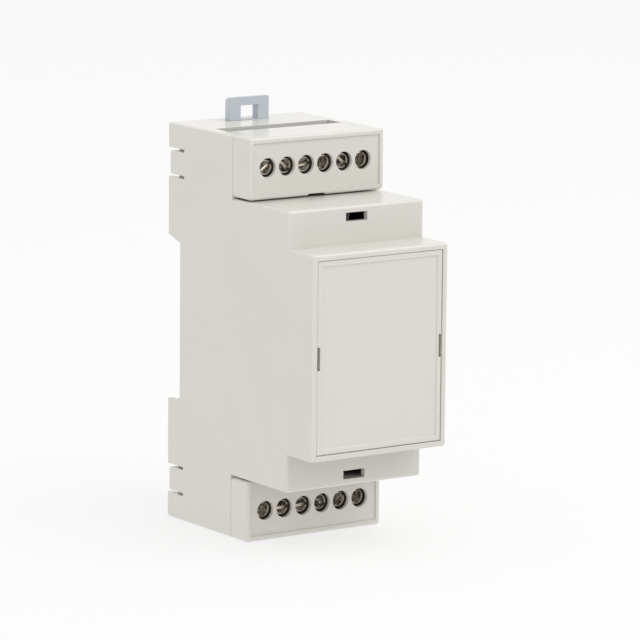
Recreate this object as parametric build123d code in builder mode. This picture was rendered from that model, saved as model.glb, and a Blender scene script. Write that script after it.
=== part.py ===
from build123d import *
import os

# Two-module control relay for a 35 mm rail. The row stands on its lower end: X runs across
# the housing, the front faces -Y, and Z runs from the lower end to the upper one. A depth is
# measured forwards from the back edge, and an end distance inwards from the lower end.

# ---------------------------------------------------------------- housing
width = 36.0                # two modules
height = 90.2
depth = 57.5
step_depth = 48.0           # front of the middle step
guard_depth = 32.6          # front of the terminal guards
side_depth = 26.0           # front edge of the cover's sides behind the guards
step_end = 14.0             # from each end of the housing to the middle step
bezel_height = 45.5
side_wall = 1.4
wall = 1.4
edge_radius = 0.6
seam = 0.1                  # gap between flush shells
fit = 0.15                  # clearance of pieces that slide or drop in

wire_opening_back = 14.5    # the opening over the wire entries, back to front
wire_opening_front = 19.8
opening_margin = 2.8        # outer side of the housing to the wire opening
release_slot = (5.7, 1.95)  # screwdriver slot that frees the cover

# ---------------------------------------------------------------- rail and clip
rail_width = 35.0
rail_lip = 1.0
rail_seat_depth = 4.8
rail_rise = 0.1             # rail's middle above the housing's middle
rail_gap = 0.3
rail_slope = 0.5            # how much the clip's side of the recess is wider
rail_slant = 1.5            # how much the recess opens towards the back
hook_reach = 1.2
hook_span = (6.0, 14.0)
clip_width = 10.4
clip_thickness = 2.3
clip_back = 3.05
clip_rise = 5.25            # tab above the housing
clip_reach = 1.1
clip_travel = 4.0
clip_window = 4.2           # width of the slot that lightens the clip
tab_hole = (4.7, 3.2)
tab_bar = 1.9
tab_round = 1.3             # back edge of the tab
tab_corner = 0.4

# ---------------------------------------------------------------- snap tongues
tongue_ends = (9.05, 8.8)   # middle of each tongue, from the lower and the upper end
tongue_height = 5.3
slit = 0.7
slit_length = 6.3
tongue_setback = 0.7
nib = (2.4, 1.2, 0.35)      # height, depth, how far it stands out
nib_back = 1.0              # from the base's rim to the nib

# ---------------------------------------------------------------- rear base
base_floor = 2.0
base_fit = 0.2              # to the cover all round
rim = 1.4
rim_back = 1.8
bridge_height = 4.0
post_radius = 2.2
post_inset = (3.2, 18.0)    # from the cover's inner side, and from each end
arm_size = (4.8, 1.5)
arm_setback = 6.3           # arm's tip behind the step's front
arm_gap = 3.5               # arm's outer face to the step's end face
rib_gap = 0.3
barb = 1.0

# ---------------------------------------------------------------- front panel
bezel_border = 1.35
panel_thickness = 1.7
panel_setback = 0.1
panel_gap = 0.08
panel_edge = 0.3            # rounding of the panel's front edges
panel_border = 1.2
panel_recess = 0.25
panel_taper = 30            # degrees, sides of the panel's recess
ledge = 1.6
ledge_thickness = 1.4
pry_notch = (0.85, 5.1)
panel_leg = (4.0, 1.0, 2.9)

# ---------------------------------------------------------------- terminal guards
guard_gap = 0.3             # between a guard and the middle step
guard_plate = 0.9
guard_rim = 1.2
guard_recess = 0.3
guard_corner = 1.0          # rounding next to the middle step
driver_hole = 4.3
guard_notch = (4.6, 0.45)

# ---------------------------------------------------------------- terminals
poles = 6
pole_pitch = 5.08
pole_shift = -0.25          # the row of poles sits a little to one side
pole_end = 6.7              # screw axis, from the end of the housing
block_gap = (0.4, 0.2)      # to the housing's end wall and to the step's wall
block_side = 0.26           # block beyond the outer poles' half pitch
block_setback = 0.3         # block's front behind the screw heads
block_groove = (0.5, 0.8)   # groove between poles
head_gap = 0.2              # screw heads behind the guard's plate
screw_head = (3.8, 2.0)     # diameter, height
screw_shank = 2.9
screw_slot = (0.7, 1.0)
head_chamfer = 0.35
screw_length = 11.9
running = 0.1               # radial clearance round the screw
thread_gap = 0.05           # radial clearance between screw and clamp
cage = (3.9, 5.4, 6.5)      # across, along the wire, along the screw
cage_jaw = 1.0
cage_roof = 1.7
cage_wall = 0.55
clamp_travel = 2.0
tongue_width = 2.6
contact_thickness = 0.8
contact_rise = 3.1          # leg of the contact beyond the screw's axis
contact_reach = 2.9         # tip of the contact short of the screw's axis
contact_stand = 0.4         # contact's leg in front of the board
pin_width = 1.0
pin_length = 1.6            # pin behind the board
wire_entry_width = 3.8
slot_turns = {
    "upper": (35, -40, 6, 62, -38, 80),
    "lower": (68, 2, 4, -28, 42, 84),
}

# ---------------------------------------------------------------- board
board_back = 9.0
board_thickness = 1.6
board_margin = 0.8
board_end_gap = 1.0
lead_gap = 0.1
lead_length = 1.4           # leads behind the board
board_screw = (4.0, 1.4, 2.0)   # head diameter, head height, shank diameter
board_screw_cross = (2.4, 0.6, 0.8)
board_screw_tip = 0.4       # screw tips in front of the base's floor

# ---------------------------------------------------------------- relay on the board
relay_inset = 0.6           # from the board's left edge
relay_rise = 4.9            # above the housing's middle
relay_size = (15.4, 19.2, 15.5)
relay_wall = 0.8
relay_floor = 2.0
coil_offset = 7.0           # coil axis in front of the board
coil_radius = 4.5
core_radius = 1.5
bobbin_wall = 0.7
flange = 1.0
flange_size = (10.4, 9.4)
coil_start = 3.1            # from the relay's lower end to the first flange
coil_length = 10.8
iron = 1.0                  # yoke and armature sheet
armature_gap = 0.6
armature_half = 3.4
yoke_half = 3.6
yoke_gap = 0.2              # yoke in front of the relay's base
strap_gap = 0.7             # bobbin's flange to the yoke's strap
pole_flare = 0.7            # pole face beyond the core
contact_radius = 0.8
contact_gap = 1.0           # core to the contacts
contact_height = 0.5        # moving contact, beyond its blade
contact_drop = 0.62         # travel of the moving contact
closed_gap = 0.1            # between the contacts when they meet
button = 0.45               # height of a fixed contact
sheet = 0.2                 # moving contact's blade
fixed_blade = 0.4
blade_half = 2.2
blade_width = 3.0
blade_tip = 0.2             # blade beyond its contact
armature_tip = 0.4          # armature's edge in front of the contacts
coil_pin = (5.9, 1.6)       # coil pins beside the coil and above its lower end
yoke_pin_drop = 0.7
pin_reach = 1.5             # pins in front of the yoke's back edge
relay_pin = (0.6, 0.6)
cover_round = 0.4
coil_round = 0.3

# ---------------------------------------------------------------- worked out from the above
near = 0.01                 # edges this close to a plane are on it
mid = height / 2
step_height = height - 2 * step_end
bezel_end = (height - bezel_height) / 2
inner_x = width / 2 - side_wall
opening_x = width / 2 - opening_margin
release_slot_end = step_end + wall
rail_low = mid + rail_rise - rail_width / 2
rail_high = rail_low + rail_width
upper_tongue = height - tongue_ends[1]
board_front = board_back + board_thickness
board_x = inner_x - board_margin
floor_front = rail_seat_depth + base_floor
partition_back = board_front + wall
guard_height = step_end - guard_gap
plate_back = guard_depth - guard_plate - guard_recess
screw_front = plate_back - head_gap
head_back = screw_front - screw_head[1]
block_front = screw_front - block_setback
block_ends = (wall + block_gap[0], step_end - block_gap[1])
block_width = poles * pole_pitch + 2 * block_side
pole_xs = [pole_shift + (i - (poles - 1) / 2) * pole_pitch for i in range(poles)]
cage_back = wire_opening_back - seam
cage_ends = (pole_end - cage[1] / 2, pole_end + cage[1] / 2)
window_back = cage_back + cage_jaw
window_front = cage_back + cage[2] - cage_roof
tongue_front = window_front - seam
contact_leg = pole_end + contact_rise
contact_tip = pole_end - contact_reach
arm_front = step_depth - arm_setback
post_spots = [(side * (inner_x - post_inset[0]), z)
              for z in (post_inset[1], height - post_inset[1]) for side in (-1, 1)]
upper_side = Plane.XY.offset(mid)


def y_at(d):
    """Y of a depth measured forwards from the back edge."""
    return depth / 2 - d


def facing_front(d):
    """Plane at a depth, facing the front; its own axes are X and Z."""
    return Plane.XZ.offset(d - depth / 2)


def block(xs, ds, zs, mode=Mode.ADD):
    """Rectangular block between two X values, two depths and two heights."""
    middle = ((xs[0] + xs[1]) / 2, y_at((ds[0] + ds[1]) / 2), (zs[0] + zs[1]) / 2)
    with Locations(middle):
        Box(xs[1] - xs[0], ds[1] - ds[0], zs[1] - zs[0], mode=mode)


def rod(x, z, radius, ds, mode=Mode.ADD):
    """Round bar along Y, centred on x and z, between two depths."""
    with BuildSketch(facing_front(ds[0])) as section:
        with Locations((x, z)):
            Circle(radius)
    extrude(section.sketch, amount=ds[1] - ds[0], mode=mode)


def side_profile(points, half_width, mode=Mode.ADD):
    """Outline given as (depth, height) points, made as wide as twice half_width."""
    with BuildSketch(Plane.YZ) as section:
        with BuildLine():
            Polyline([(y_at(d), z) for d, z in points], close=True)
        make_face()
    extrude(section.sketch, amount=half_width, both=True, mode=mode)


def outer_edges(part):
    """Convex outer edges of a shell, leaving its back and its seams square."""
    along_y = part.edges().filter_by(Axis.Y)
    front = part.edges().filter_by_position(Axis.Y, y_at(depth) - 1, y_at(side_depth) - 1)
    upright = front.filter_by(Axis.Z)
    across = front.filter_by(Axis.X)
    convex = across.filter_by(
        lambda e: abs(e.center().Y - y_at(depth)) < near
        or abs(abs(e.center().Z - mid) - step_height / 2) < near
    )
    return along_y + upright + convex


def flipped(lower):
    """The same piece at the upper end of the housing."""
    with BuildPart() as upper:
        add(lower.part)
        mirror(about=upper_side, mode=Mode.REPLACE)
    return upper


def write(builder, node):
    """Label a finished piece and write its STEP file."""
    builder.part.label = node
    export_step(builder.part, f"parts/{node}.step")


os.makedirs("parts", exist_ok=True)

# ================================================================ housing cover
step_outline = [
    (0, 0), (side_depth, 0), (side_depth, step_end), (step_depth, step_end),
    (step_depth, bezel_end), (depth, bezel_end), (depth, height - bezel_end),
    (step_depth, height - bezel_end), (step_depth, height - step_end),
    (side_depth, height - step_end), (side_depth, height), (0, height),
]
opening_end = bezel_end + bezel_border
panel_seat = depth - panel_setback - panel_thickness
ledge_back = panel_seat - ledge_thickness
clip_front = clip_back + clip_thickness
past = 1.0                  # cutters run this far past the face they leave
recess_low = rail_low - rail_gap
recess_high = rail_high + rail_gap + rail_slope

with BuildPart() as cover:
    side_profile(step_outline, width / 2)
    fillet(outer_edges(cover), radius=edge_radius)
    inner = (-inner_x, inner_x)
    inside_step = (step_end + wall, height - step_end - wall)
    # terminal compartments, open at the front and over the wire entries
    block(inner, (-past, side_depth + past), (wall, step_end), mode=Mode.SUBTRACT)
    block(inner, (-past, side_depth + past), (height - step_end, height - wall), mode=Mode.SUBTRACT)
    opening = (-opening_x, opening_x)
    block(opening, (wire_opening_back, side_depth + past), (-past, wall + past), mode=Mode.SUBTRACT)
    block(opening, (wire_opening_back, side_depth + past), (height - wall - past, height + past),
          mode=Mode.SUBTRACT)
    # electronics space, bezel and panel seat
    block(inner, (-past, step_depth - wall), inside_step, mode=Mode.SUBTRACT)
    block(inner, (-past, partition_back), (wall, height - wall), mode=Mode.SUBTRACT)
    block(inner, (step_depth - wall - past, ledge_back), (bezel_end + wall, height - bezel_end - wall),
          mode=Mode.SUBTRACT)
    block((-inner_x + ledge, inner_x - ledge), (ledge_back - past, depth),
          (opening_end + ledge, height - opening_end - ledge), mode=Mode.SUBTRACT)
    block(inner, (panel_seat, depth + past), (opening_end, height - opening_end), mode=Mode.SUBTRACT)
    # the ledge is cut through behind the panel's prying notches
    for side in (-1, 1):
        edge = side * inner_x
        block(sorted((edge, edge - side * pry_notch[0])), (ledge_back - past, panel_seat + past),
              (mid - pry_notch[1] / 2, mid + pry_notch[1] / 2), mode=Mode.SUBTRACT)
    # slots in the step's front, and the ribs that the base's arms hold
    for flip in (False, True):
        slot_ends = (release_slot_end, release_slot_end + release_slot[1])
        rib_ends = (step_end + wall, step_end + arm_gap - rib_gap)
        if flip:
            slot_ends = (height - slot_ends[1], height - slot_ends[0])
            rib_ends = (height - rib_ends[1], height - rib_ends[0])
        block((-release_slot[0] / 2, release_slot[0] / 2), (step_depth - wall - past, step_depth + past),
              slot_ends, mode=Mode.SUBTRACT)
        block((-arm_size[0] / 2, arm_size[0] / 2),
              (arm_front - 2 * arm_size[1] - fit, arm_front - arm_size[1] - fit), rib_ends)
    # recess for the rail
    side_profile(
        [(-past, recess_low), (rail_seat_depth, recess_low), (rail_seat_depth, recess_high),
         (0, recess_high + rail_slant), (-past, recess_high + rail_slant)],
        width, mode=Mode.SUBTRACT)
    # slot for the clip
    block((-clip_width / 2 - fit, clip_width / 2 + fit), (clip_back - fit, clip_front + fit),
          (height - wall - past, height + past), mode=Mode.SUBTRACT)
    # snap tongues with a pocket inside for the base's nibs
    for middle in (tongue_ends[0], upper_tongue):
        tongue = (middle - tongue_height / 2, middle + tongue_height / 2)
        for side in (-1, 1):
            walls = sorted((side * (inner_x - past), side * (width / 2 + past)))
            block(walls, (-past, slit_length), (tongue[0] - slit, tongue[0]), mode=Mode.SUBTRACT)
            block(walls, (-past, slit_length), (tongue[1], tongue[1] + slit), mode=Mode.SUBTRACT)
            block(walls, (-past, tongue_setback), tongue, mode=Mode.SUBTRACT)
            pocket = sorted((side * (inner_x - past), side * (inner_x + nib[2])))
            block(pocket, (rim_back + nib_back, rim_back + nib_back + nib[1] + 2 * fit),
                  (middle - nib[0] / 2 - fit, middle + nib[0] / 2 + fit), mode=Mode.SUBTRACT)
    corners = cover.edges().filter_by(Axis.X).filter_by(
        lambda e: abs(e.center().Y - y_at(tongue_setback)) < near)
    fillet(corners, radius=edge_radius)
write(cover, "housing_cover")

# ================================================================ rear base
base_x = inner_x - base_fit
base_low = wall + base_fit
base_high = height - base_low
rim_low = recess_low - rim
rim_high = recess_high + rail_slant * (1 - rim_back / rail_seat_depth) + seam
guide_x = clip_width / 2 + fit
shoulder = rail_high + rail_gap
arm_zs = (step_end + arm_gap, step_end + arm_gap + arm_size[1])

with BuildPart() as base:
    block((-base_x, base_x), (rail_seat_depth, floor_front), (base_low, base_high))
    for zs in ((base_low, recess_low), (rim_high, base_high)):
        # a rim round each end zone keeps the floor stiff
        for side in (-1, 1):
            block(sorted((side * (base_x - rim), side * base_x)), (rim_back, rail_seat_depth), zs)
        block((-base_x, base_x), (rim_back, rail_seat_depth), (zs[0], zs[0] + rim))
        block((-base_x, base_x), (rim_back, rail_seat_depth), (zs[1] - rim, zs[1]))
    # fixed hooks that hold the rail's lower lip
    for side in (-1, 1):
        hook = sorted((side * hook_span[0], side * hook_span[1]))
        hook_front = rail_seat_depth - rail_lip - rail_gap
        block(hook, (rim_back, hook_front), (rim_low, rail_low + hook_reach))
    # channel for the clip, its guides and the bridge that keeps it in
    for side in (-1, 1):
        block(sorted((side * guide_x, side * (guide_x + rim))), (rim_back, rail_seat_depth),
              (rim_high, base_high))
    block((-guide_x, guide_x), (0, clip_front + fit), (rail_high - rail_gap, height),
          mode=Mode.SUBTRACT)
    bridge_low = shoulder + 2 * clip_travel + fit
    block((-guide_x - rim, guide_x + rim), (clip_back - fit - rim, clip_back - fit),
          (bridge_low, bridge_low + bridge_height))
    # board posts
    for x, z in post_spots:
        rod(x, z, post_radius, (floor_front, board_back))
        rod(x, z, board_screw[2] / 2 + thread_gap, (floor_front, board_back + past), mode=Mode.SUBTRACT)
    # long arms that reach forwards and hold the cover
    for flip in (False, True):
        zs = arm_zs
        barb_zs = (arm_zs[0] - barb, arm_zs[0])
        if flip:
            zs = (height - zs[1], height - zs[0])
            barb_zs = (height - barb_zs[1], height - barb_zs[0])
        half = arm_size[0] / 2
        block((-half, half), (floor_front, arm_front), zs)
        block((-half, half), (arm_front - arm_size[1], arm_front), barb_zs)
    # nibs for the cover's snap tongues
    for middle in (tongue_ends[0], upper_tongue):
        for side in (-1, 1):
            block(sorted((side * base_x, side * (base_x + nib[2]))),
                  (rim_back + nib_back + fit, rim_back + nib_back + fit + nib[1]),
                  (middle - nib[0] / 2, middle + nib[0] / 2))
write(base, "rear_base")

# ================================================================ din clip
nose_back = hook_front - clip_thickness
nose_low = rail_high - clip_reach
with BuildPart() as clip:
    with BuildSketch(Plane.YZ) as clip_side:
        with BuildLine():
            Polyline(
                [(y_at(d), z) for d, z in [
                    (clip_front, shoulder), (clip_front, height + clip_rise),
                    (clip_back, height + clip_rise), (clip_back, shoulder + clip_travel),
                    (nose_back, shoulder + clip_travel - (clip_back - nose_back)),
                    (nose_back, shoulder), (nose_back + clip_reach, nose_low),
                    (hook_front, nose_low), (hook_front, shoulder)]],
                close=True)
        make_face()
        fillet(clip_side.vertices().group_by(Axis.Y)[-1].sort_by(Axis.X)[-1], radius=tab_round)
    extrude(clip_side.sketch, amount=clip_width / 2, both=True)
    top_bar = height + clip_rise - tab_bar
    block((-tab_hole[0] / 2, tab_hole[0] / 2), (0, step_depth), (top_bar - tab_hole[1], top_bar),
          mode=Mode.SUBTRACT)
    block((-clip_window / 2, clip_window / 2), (0, step_depth),
          (bridge_low + bridge_height, top_bar - tab_hole[1] - 2 * tab_bar), mode=Mode.SUBTRACT)
    tab_corners = clip.edges().filter_by(Axis.Y).group_by(Axis.Z)[-1]
    fillet(tab_corners, radius=tab_corner)
write(clip, "din_clip")

# ================================================================ front panel
panel_x = inner_x - panel_gap
panel_zs = (opening_end + panel_gap, height - opening_end - panel_gap)
panel_front = depth - panel_setback
with BuildPart() as panel:
    block((-panel_x, panel_x), (panel_seat, panel_front), panel_zs)
    fillet(panel.faces().sort_by(Axis.Y)[0].edges(), radius=panel_edge)
    with BuildSketch(facing_front(panel_front)) as label_area:
        with Locations((0, mid)):
            Rectangle(2 * (panel_x - panel_border), panel_zs[1] - panel_zs[0] - 2 * panel_border)
    extrude(label_area.sketch, amount=-panel_recess, taper=panel_taper, mode=Mode.SUBTRACT)
    for side in (-1, 1):
        edge = side * inner_x
        block(sorted((edge, edge - side * pry_notch[0])), (panel_seat - past, panel_front + past),
              (mid - pry_notch[1] / 2, mid + pry_notch[1] / 2), mode=Mode.SUBTRACT)
        for z in (opening_end + ledge + fit, height - opening_end - ledge - fit - panel_leg[1]):
            leg_x = side * (panel_x - ledge - panel_leg[0])
            block((leg_x - panel_leg[0] / 2, leg_x + panel_leg[0] / 2),
                  (panel_seat - panel_leg[2], panel_seat), (z, z + panel_leg[1]))
write(panel, "front_panel")

# ================================================================ terminal guards
with BuildPart() as lower_guard:
    block((-width / 2, width / 2), (side_depth + seam, guard_depth), (0, guard_height))
    along_y = lower_guard.edges().filter_by(Axis.Y).group_by(Axis.Z)
    fillet(along_y[-1], radius=guard_corner)
    along_y = lower_guard.edges().filter_by(Axis.Y).group_by(Axis.Z)
    front_edges = lower_guard.faces().sort_by(Axis.Y)[0].edges()
    fillet(along_y[0] + front_edges, radius=edge_radius)
    block((-inner_x, inner_x), (side_depth, plate_back), (wall, guard_height + past), mode=Mode.SUBTRACT)
    block((-opening_x + fit, opening_x - fit), (wire_opening_front, plate_back), (0, wall))
    block((-width / 2 + guard_rim, width / 2 - guard_rim), (guard_depth - guard_recess, depth),
          (guard_rim, guard_height - guard_rim), mode=Mode.SUBTRACT)
    for x in pole_xs:
        rod(x, pole_end, driver_hole / 2, (side_depth, depth), mode=Mode.SUBTRACT)
    block((-guard_notch[0] / 2, guard_notch[0] / 2), (side_depth, depth),
          (guard_height - guard_notch[1], guard_height + past), mode=Mode.SUBTRACT)
write(lower_guard, "lower_terminal_guard")
write(flipped(lower_guard), "upper_terminal_guard")

# ================================================================ terminal blocks
head_seat = head_back - thread_gap
chamber_front = cage_back + cage[2] + clamp_travel + 2 * fit
with BuildPart() as lower_block:
    block((pole_shift - block_width / 2, pole_shift + block_width / 2), (board_front, block_front),
          block_ends)
    for x in pole_xs:
        half = cage[0] / 2 + running
        rod(x, pole_end, screw_head[0] / 2 + running, (head_seat, depth), mode=Mode.SUBTRACT)
        rod(x, pole_end, screw_shank / 2 + running, (cage_back, head_seat + past), mode=Mode.SUBTRACT)
        block((x - half, x + half), (cage_back - 2 * fit, chamber_front),
              (cage_ends[0] - 2 * fit, contact_leg + contact_thickness + 2 * fit), mode=Mode.SUBTRACT)
        block((x - wire_entry_width / 2, x + wire_entry_width / 2),
              (window_back - running, tongue_front - contact_thickness + running),
              (block_ends[0] - past, pole_end), mode=Mode.SUBTRACT)
        block((x - tongue_width / 2 - fit, x + tongue_width / 2 + fit),
              (board_front - past, tongue_front + fit),
              (contact_leg - running, contact_leg + contact_thickness + running), mode=Mode.SUBTRACT)
    for x in pole_xs[1:]:
        groove = x - pole_pitch / 2
        block((groove - block_groove[0] / 2, groove + block_groove[0] / 2),
              (block_front - block_groove[1], depth), (0, mid), mode=Mode.SUBTRACT)
write(lower_block, "lower_terminal_block")
write(flipped(lower_block), "upper_terminal_block")

# ================================================================ terminal contacts
with BuildPart() as lower_contacts:
    for x in pole_xs:
        half = tongue_width / 2
        leg = (contact_leg, contact_leg + contact_thickness)
        block((x - half, x + half), (tongue_front - contact_thickness, tongue_front),
              (contact_tip, leg[1]))
        block((x - half, x + half), (board_front + contact_stand, tongue_front), leg)
        block((x - pin_width / 2, x + pin_width / 2), (board_back - pin_length, tongue_front), leg)
write(lower_contacts, "lower_terminal_contacts")
write(flipped(lower_contacts), "upper_terminal_contacts")

# ================================================================ terminal screws and clamps
for end in ("upper", "lower"):
    axis_z = height - pole_end if end == "upper" else pole_end
    for number, x in enumerate(pole_xs, start=1):
        with BuildPart() as screw:
            rod(x, axis_z, screw_head[0] / 2, (head_back, screw_front))
            rim_edge = screw.edges().sort_by(Axis.Y)[0]
            chamfer(rim_edge, length=head_chamfer)
            rod(x, axis_z, screw_shank / 2, (screw_front - screw_length, head_back))
            with BuildSketch(facing_front(screw_front)) as slot:
                with Locations((x, axis_z)):
                    Rectangle(2 * screw_head[0], screw_slot[0], rotation=slot_turns[end][number - 1])
            extrude(slot.sketch, amount=-screw_slot[1], mode=Mode.SUBTRACT)
        write(screw, f"{end}_screw_{number}")

        with BuildPart() as clamp:
            zs = (axis_z - cage[1] / 2, axis_z + cage[1] / 2)
            block((x - cage[0] / 2, x + cage[0] / 2), (cage_back, cage_back + cage[2]), zs)
            fillet(clamp.edges().filter_by(Axis.Z), radius=cage_wall / 2)
            block((x - cage[0] / 2 + cage_wall, x + cage[0] / 2 - cage_wall), (window_back, window_front),
                  (zs[0] - past, zs[1] + past), mode=Mode.SUBTRACT)
            rod(x, axis_z, screw_shank / 2 + thread_gap, (window_back, depth), mode=Mode.SUBTRACT)
        write(clamp, f"{end}_clamp_{number}")

# ================================================================ relay on the board
lead_holes = []             # (x, z, across, up) of every lead that passes through the board
lead_end = board_back - lead_length


def lead(x, z, size, front):
    """Straight lead from behind the board up to a depth; the board gets a hole for it."""
    across, up = size
    block((x - across / 2, x + across / 2), (lead_end, front), (z - up / 2, z + up / 2))
    lead_holes.append((x, z, across, up))


def lead_hole(x, z, across, up, ds):
    """Hole that a lead passes through with clearance."""
    block((x - across / 2 - lead_gap, x + across / 2 + lead_gap), ds,
          (z - up / 2 - lead_gap, z + up / 2 + lead_gap), mode=Mode.SUBTRACT)


relay_xs = (relay_inset - board_x, relay_inset - board_x + relay_size[0])
relay_zs = (mid + relay_rise, mid + relay_rise + relay_size[1])
relay_back = board_front + lead_gap
relay_front = relay_back + relay_size[2]
relay_x = sum(relay_xs) / 2
coil_d = board_front + coil_offset
coil_low = relay_zs[0] + coil_start
coil_high = coil_low + coil_length
tube_radius = core_radius + lead_gap / 2 + bobbin_wall
yoke_low = coil_low - lead_gap - iron
yoke_back = relay_back + relay_floor + yoke_gap
strap_front = coil_d + flange_size[1] / 2 + strap_gap + iron
pole_face = coil_high + lead_gap + iron
armature_low = pole_face + armature_gap
armature_high = armature_low + iron
contact_d = coil_d - core_radius - contact_radius - contact_gap
moving_contact = (armature_high - contact_height, armature_high + sheet + contact_height)
pin_spots = [(relay_x - coil_pin[0], coil_low + coil_pin[1]),
             (relay_x + coil_pin[0], coil_low + coil_pin[1]),
             (relay_x, yoke_low - yoke_pin_drop)]
fixed_contact_zs = [moving_contact[0] - contact_drop - closed_gap,
                    moving_contact[1] + closed_gap]

with BuildPart() as relay_pins:
    for x, z in pin_spots:
        lead(x, z, relay_pin, yoke_back + pin_reach)
write(relay_pins, "relay_pins")

with BuildPart() as fixed_contacts:
    for face, way in zip(fixed_contact_zs, (-1, 1)):
        blade = sorted((face + way * button, face + way * (button + fixed_blade)))
        middle = sum(blade) / 2
        lead(relay_x, middle, (pin_width, fixed_blade), yoke_back)
        block((relay_x - blade_width / 2, relay_x + blade_width / 2),
              (yoke_back, contact_d + contact_radius), blade)
        with BuildSketch(Plane.XY.offset(min(face, face + way * button))) as disc:
            with Locations((relay_x, y_at(contact_d))):
                Circle(contact_radius)
        extrude(disc.sketch, amount=button)
write(fixed_contacts, "relay_fixed_contacts")

with BuildPart() as relay_base:
    inset = relay_wall + lead_gap
    block((relay_xs[0] + inset, relay_xs[1] - inset), (relay_back + lead_gap, relay_back + relay_floor),
          (relay_zs[0] + inset, relay_zs[1] - inset))
    for x, z, across, up in lead_holes:
        lead_hole(x, z, across, up, (board_front, yoke_back))
write(relay_base, "relay_base")

with BuildPart() as relay_cover:
    block(relay_xs, (relay_back, relay_front), relay_zs)
    fillet(relay_cover.edges().filter_by(Axis.Y) + relay_cover.faces().sort_by(Axis.Y)[0].edges(),
           radius=cover_round)
    block((relay_xs[0] + relay_wall, relay_xs[1] - relay_wall), (relay_back, relay_front - relay_wall),
          (relay_zs[0] + relay_wall, relay_zs[1] - relay_wall), mode=Mode.SUBTRACT)
write(relay_cover, "relay_cover")

with BuildPart() as bobbin:
    half_x = flange_size[0] / 2
    half_d = flange_size[1] / 2
    for z in (coil_low, coil_high - flange):
        block((relay_x - half_x, relay_x + half_x), (coil_d - half_d, coil_d + half_d), (z, z + flange))
    with BuildSketch(Plane.XY.offset(coil_low)) as tube:
        with Locations((relay_x, y_at(coil_d))):
            Circle(tube_radius)
    extrude(tube.sketch, amount=coil_length)
    with BuildSketch(Plane.XY.offset(coil_low)) as bore:
        with Locations((relay_x, y_at(coil_d))):
            Circle(core_radius + lead_gap / 2)
    extrude(bore.sketch, amount=coil_length, mode=Mode.SUBTRACT)
write(bobbin, "relay_bobbin")

with BuildPart() as coil:
    with BuildSketch(Plane.XY.offset(coil_low + flange + lead_gap / 2)) as winding:
        with Locations((relay_x, y_at(coil_d))):
            Circle(coil_radius)
            Circle(tube_radius + lead_gap / 2, mode=Mode.SUBTRACT)
    extrude(winding.sketch, amount=coil_length - 2 * flange - lead_gap)
    rims = coil.edges().filter_by(GeomType.CIRCLE).filter_by(lambda e: e.radius > coil_radius - near)
    fillet(rims, radius=coil_round)
write(coil, "relay_coil")

with BuildPart() as core:
    pole_low = coil_high + lead_gap / 2
    for z, radius, length in ((coil_low - lead_gap / 2, core_radius, coil_length + lead_gap),
                              (pole_low, core_radius + pole_flare, pole_face - pole_low)):
        with BuildSketch(Plane.XY.offset(z)) as section:
            with Locations((relay_x, y_at(coil_d))):
                Circle(radius)
        extrude(section.sketch, amount=length)
write(core, "relay_core")

with BuildPart() as yoke:
    side_profile([(yoke_back, yoke_low), (strap_front, yoke_low), (strap_front, pole_face),
                  (strap_front - iron, pole_face), (strap_front - iron, yoke_low + iron),
                  (yoke_back, yoke_low + iron)], yoke_half)
yoke.part.position = (relay_x, 0, 0)
write(yoke, "relay_yoke")

with BuildPart() as armature:
    armature_back = contact_d + contact_radius + armature_tip
    block((relay_x - armature_half, relay_x + armature_half), (armature_back, strap_front),
          (armature_low, armature_high))
    fillet(armature.edges().filter_by(Axis.Z), radius=iron / 2)
write(armature, "relay_armature")

with BuildPart() as contact_arm:
    block((relay_x - blade_half, relay_x + blade_half),
          (contact_d - contact_radius - blade_tip, strap_front - 2 * iron),
          (armature_high, armature_high + sheet))
    with BuildSketch(Plane.XY.offset(moving_contact[0])) as disc:
        with Locations((relay_x, y_at(contact_d))):
            Circle(contact_radius)
    extrude(disc.sketch, amount=moving_contact[1] - moving_contact[0])
write(contact_arm, "relay_contact_arm")

# ================================================================ other parts on the board
film_size = (12.0, 8.0, 13.0)
film_spot = (9.2, mid + 16.5)
can_spot, can_radius, can_height = (9.6, mid + 2.2), 5.0, 16.0
small_can_spot, small_can_radius, small_can_height = (10.0, mid - 8.4), 3.15, 11.0
varistor_spot, varistor_radius, varistor_thickness = (8.5, mid - 18.5), 5.0, 3.6
bridge_spot, bridge_size = (-9.0, mid - 1.0), (8.3, 6.4, 3.3)
regulator_spot, regulator_radius, regulator_height = (0.6, mid - 1.0), 2.3, 4.8
chip_spot, chip_size = (-7.0, mid - 16.5), (8.7, 3.9, 1.6)
chip_pins, chip_pitch = 7, 1.27
film_lead = 5.0             # leads to each side of the middle
varistor_lead = 2.5
varistor_stand = 1.4
lead_overlap = 2.0          # leads run this far into the varistor
bridge_lead = (2.54, 2.7)
regulator_stand = 1.6
regulator_lead = (0.45, 0.45)
chip_lead = (0.4, 0.2, 1.0, 1.1)    # width, sheet, rise, reach
chip_chamfer = 0.25
stand_off = 0.4             # parts stand this far off the board
case_round = 0.5            # corners of the moulded and canned parts
wire = (0.6, 0.6)
resistor_rows = [(-9.0, mid - 7.4), (-9.0, mid - 10.4), (-9.0, mid - 22.8)]
resistor_radius, resistor_length, resistor_span = 1.2, 6.3, 10.16
diode_rows = [(2.0, mid - 7.8), (2.0, mid - 11.4)]
diode_radius, diode_length, diode_span = 1.3, 4.4, 7.62
chip_part = (2.0, 1.25)
chips_in_row = 4
chip_resistor_start, chip_resistor_rows = -13.6, (mid - 20.9, mid - 13.25)
chip_resistor_pitch, chip_resistor_height = 3.4, 0.55
chip_capacitor_start = (1.2, mid - 24.0)
chip_capacitor_pitch, chip_capacitor_height = 2.6, 0.9


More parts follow.
